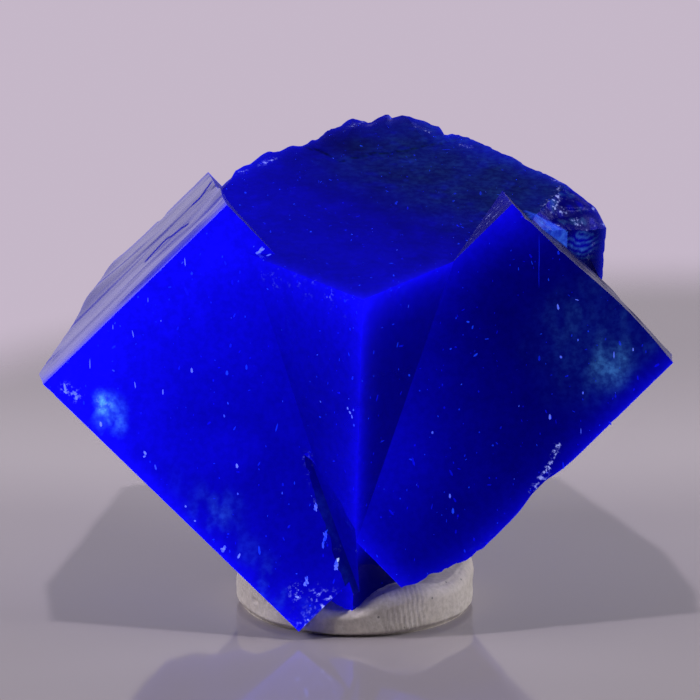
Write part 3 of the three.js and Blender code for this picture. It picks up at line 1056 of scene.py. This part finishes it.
def pad_wall(angle, direction, radius):
    """The wall's rows from the foot to the lip. It turns in a little at the foot, stands up to the
    shoulder and follows a quarter of an ellipse round it to the top's height. Dents, small pits
    and the finger ridges push it in or out, and fade at the foot and at the lip."""
    edge = direction * radius[:, None]
    crest = pad_top_height(edge - PAD_SHOULDER * direction)
    shoulder = PAD_SHOULDER_SHARE * crest
    s = np.linspace(0.0, 1.0, PAD_WALL_STEPS)[:, None]
    turn = np.clip((s - PAD_WALL_SHARE) / (1.0 - PAD_WALL_SHARE), 0.0, 1.0) * np.pi / 2.0
    foot = PAD_FOOT * (1.0 - smooth_step(s, 0.0, PAD_FOOT_SHARE))
    reach = radius - foot - PAD_SHOULDER * (1.0 - np.cos(turn))
    z = np.minimum(s / PAD_WALL_SHARE, 1.0) * (crest - shoulder) + np.sin(turn) * shoulder
    wall = direction * reach[:, :, None] + UP * z[:, :, None]
    places = wall.reshape(-1, 3)
    dents = 0.10 * fractal(places, 3.2, 3, seed=82) + 0.025 * fractal(places, 0.8, 3, seed=83)
    dents -= 0.10 * patches(places, 0.9, 2, 0.75, 1.1, seed=84)
    dents = dents.reshape(z.shape) + finger_ridges(angle, z)
    dents *= smooth_step(s, 0.0, 0.10) * smooth_step(s, 1.0, 0.94)
    outward = np.cos(turn)[:, :, None] * direction + np.sin(turn)[:, :, None] * UP
    return held_below(wall + outward * dents[:, :, None]).reshape(wall.shape)


def ring_faces(rings, n):
    """Faces of a disc of rings with n points each, numbered outwards from 1: quads between the
    rings and a fan round point 0. They look down where the points run anticlockwise from above."""
    k, j = np.meshgrid(np.arange(rings - 1), np.arange(n), indexing="ij")
    a, b = 1 + k * n + j, 1 + k * n + (j + 1) % n
    quads = np.stack([a, b, b + n, a + n], axis=-1).reshape(-1, 4)
    fan = np.stack([0 * a[0], b[0], a[0]], axis=1)
    return quads.tolist() + fan.tolist()


def pad_surface():
    """A closed form on a grid of angle and profile: from the middle of the underside out to the
    foot, up the wall and round the shoulder, and in over the sloping top to the middle. Its radius
    waves slightly with the angle, which is measured from the front, towards +X."""
    angle = np.linspace(-np.pi, np.pi, PAD_TURNS + 1)[:-1]
    direction = np.stack([np.sin(angle), -np.cos(angle), 0.0 * angle], axis=1)
    radius = PAD_RADIUS * (1.0 + 0.012 * np.sin(2.0 * angle + 0.7) + 0.008 * np.sin(3.0 * angle - 0.9))
    rows = [direction * radius[:, None] * share for share in np.linspace(0.0, 0.955, PAD_UNDER_STEPS)[1:]]
    rows += list(pad_wall(angle, direction, radius))
    lip_radius = np.linalg.norm(rows[-1][:, :2], axis=1)
    for share in np.linspace(1.0, 0.0, PAD_TOP_STEPS)[1:-1]:
        row = direction * (lip_radius * share)[:, None]
        row[:, 2] = pad_top_height(row) + 0.03 * fractal(row, 1.1, 3, seed=85) * smooth_step(share, 1.0, 0.95)
        rows.append(held_below(row))
    points = np.concatenate([np.zeros((1, 3)), *rows, UP[None] * rows[-1][:, 2].mean()])
    last = len(points) - 1
    j = np.arange(PAD_TURNS)
    top = np.stack([0 * j + last, last - PAD_TURNS + j, last - PAD_TURNS + (j + 1) % PAD_TURNS], axis=1)
    return points, ring_faces(len(rows), PAD_TURNS) + top.tolist()


def putty_material():
    """Off-white putty: matte, finely grained, a little darker and yellower in random patches, with dark
    specks.
    """
    material, tree, place = start_material("putty")
    broad, fine = noise(tree, place, 3.0, 3.0), noise(tree, place, 0.35, 5.0, 0.65)
    tone = colour_mix(tree, value_range(tree, broad, 0.3, 0.7), (0.80, 0.72, 0.65), (0.86, 0.80, 0.75))
    tone = colour_mix(tree, value_range(tree, fine, 0.35, 0.65), (0.70, 0.64, 0.58), tone)
    specks = add_node(tree, "TexVoronoi", {"Vector": place, "Scale": 900.0}).outputs["Distance"]
    add_shader(tree, {
        "Base Color": colour_mix(tree, value_range(tree, specks, 0.10, 0.05), tone, (0.30, 0.28, 0.27)),
        "Roughness": value_range(tree, fine, 0.3, 0.7, 0.62, 0.85),
        "Normal": bump(tree, fine, 0.5),
    })
    return material


def make_pad():
    """The pressed putty pad."""
    piece = new_mesh_piece("pressed_putty_pad", *pad_surface(), putty_material())
    shade_smooth(piece, 50.0)
    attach(piece, "root")
    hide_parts("putty_pad")


# Camera, floor and light


def make_camera():
    """Looks along +Y and down by the camera's height, with the front corner at its place in the picture."""
    aim = FRONT_CORNER - PIXEL * (CORNER_RIGHT * SEEN_RIGHT + CORNER_UP * SEEN_UP)
    data = bpy.data.cameras.new("camera")
    data.sensor_width = SENSOR
    data.lens = SENSOR * CAMERA_DISTANCE / (PICTURE_SIDE * PIXEL)
    data.clip_start, data.clip_end = 0.01, 100.0
    camera = bpy.data.objects.new("camera", data)
    turned = Matrix(np.stack([SEEN_RIGHT, SEEN_UP, TOWARDS_VIEWER], axis=1).tolist()).to_4x4()
    place = (aim + TOWARDS_VIEWER * CAMERA_DISTANCE) * MM
    camera.matrix_world = Matrix.Translation(Vector(place)) @ turned
    bpy.context.scene.collection.objects.link(camera)
    bpy.context.scene.camera = camera


def floor_material():
    """Pale, slightly glossy, fading to nothing at its far edge so that it has no hard line. It carries
    painted shade: darker near the viewer and far behind, and nearly black where the crystals mirror it."""
    material, tree, place = start_material("floor")
    tone = colour_mix(tree, noise(tree, place, 40.0, 2.0), (0.40, 0.365, 0.40), (0.43, 0.395, 0.43))
    depth = add_node(tree, "SeparateXYZ", {0: place}).outputs["Y"]
    # Painted shade: the floor's colour darkens towards the viewer and far behind.
    near_painted_shade = value_range(tree, depth, -22.0 * MM, 16.0 * MM, 0.66, 1.0)
    far_painted_shade = value_range(tree, depth, 30.0 * MM, 62.0 * MM, 1.0, 0.72)
    share = product(tree, near_painted_shade, far_painted_shade)
    # Painted shade in reflections: seen in a mirror the floor is nearly black, so the crystals reflect less
    # of it.
    mirrored = add_node(tree, "LightPath").outputs["Is Glossy Ray"]
    share = product(tree, share, value_range(tree, mirrored, 0.0, 1.0, 1.0, 0.12))
    reach = add_node(tree, "VectorMath", {0: place}, operation="LENGTH").outputs["Value"]
    add_shader(tree, {
        "Base Color": colour_mix(tree, 1.0, tone, share, "MULTIPLY"),
        "Roughness": 0.07,
        "IOR": 1.45,
        "Specular IOR Level": value_range(tree, mirrored, 0.0, 1.0, 0.5, 0.0),
        "Alpha": value_range(tree, reach, FLOOR_RADIUS * MM, (FLOOR_RADIUS - FLOOR_FADE) * MM),
    })
    return material


def make_floor():
    """A round sheet on z = 0: rings of points at even steps of radius and angle round its centre."""
    angles = np.linspace(0.0, 2.0 * np.pi, FLOOR_TURNS + 1)[:-1]
    radii = np.linspace(0.0, FLOOR_RADIUS, FLOOR_RINGS + 1)[1:]
    ring = np.stack([np.cos(angles), np.sin(angles), 0.0 * angles], axis=1)
    points = np.concatenate([np.zeros((1, 3)), (radii[:, None, None] * ring).reshape(-1, 3)])
    faces = [face[::-1] for face in ring_faces(FLOOR_RINGS, FLOOR_TURNS)]
    floor = new_mesh_piece("floor", points, faces, floor_material())
    floor.location = Vector(FLOOR_CENTRE * MM)


def make_lamp(name, place, size, power, colour):
    """A square soft light that faces the specimen's middle."""
    data = bpy.data.lights.new(name, "AREA")
    data.shape, data.size, data.energy, data.color = "SQUARE", size * MM, power, colour
    lamp = bpy.data.objects.new(name, data)
    facing = (LAMP_AIM - Vector(place)).to_track_quat("-Z", "Y").to_matrix().to_4x4()
    lamp.matrix_world = Matrix.Translation(Vector(place) * MM) @ facing
    bpy.context.scene.collection.objects.link(lamp)


def background(tree, colour, strength):
    """An even light of this colour and strength."""
    inputs = {"Color": (*colour, 1.0), "Strength": strength}
    return add_node(tree, "Background", inputs).outputs[0]


def make_world():
    """Pale violet grey behind the specimen. Matt surfaces are lit evenly from all round. Glossy
    ones mirror a wall that is dark on the viewer's side and overhead, and lighter low down behind."""
    world = bpy.data.worlds.new("studio")
    bpy.context.scene.world = world
    world.use_nodes = True
    tree = world.node_tree
    tree.nodes.clear()
    heading = add_node(tree, "TexCoord").outputs["Generated"]
    x, y, z = add_node(tree, "SeparateXYZ", {0: heading}).outputs
    behind = value_range(tree, y, -0.1, 0.8, 0.02, 0.58)
    overhead = value_range(tree, z, 0.33, 0.47, 1.0, 0.05)
    from_sides = value_range(tree, math_node(tree, "ABSOLUTE", x), 0.1, 0.95, 0.45 * AMBIENT, 1.8 * AMBIENT)
    from_front = value_range(tree, y, -0.9, 0.0, 0.04, 1.0)
    even = background(tree, (0.92, 0.88, 1.0), product(tree, from_sides, from_front))
    wall = background(tree, (0.95, 0.87, 1.0), product(tree, behind, overhead))
    shown = background(tree, (0.56, 0.475, 0.58), 1.0)
    rays = add_node(tree, "LightPath").outputs
    matt = add_node(tree, "MixShader", {0: rays["Is Diffuse Ray"], 1: wall, 2: even})
    both = add_node(tree, "MixShader", {0: rays["Is Camera Ray"], 1: matt.outputs[0], 2: shown})
    add_node(tree, "OutputWorld", {"Surface": both.outputs[0]})


bpy.context.scene.view_settings.view_transform = "Standard"
make_camera()
surface = crystal_surface()
make_crystals(*surface)
make_flecks(*surface)
make_pad()
make_floor()
for lamp_name, settings in LAMPS.items():
    make_lamp(lamp_name, *settings)
make_world()
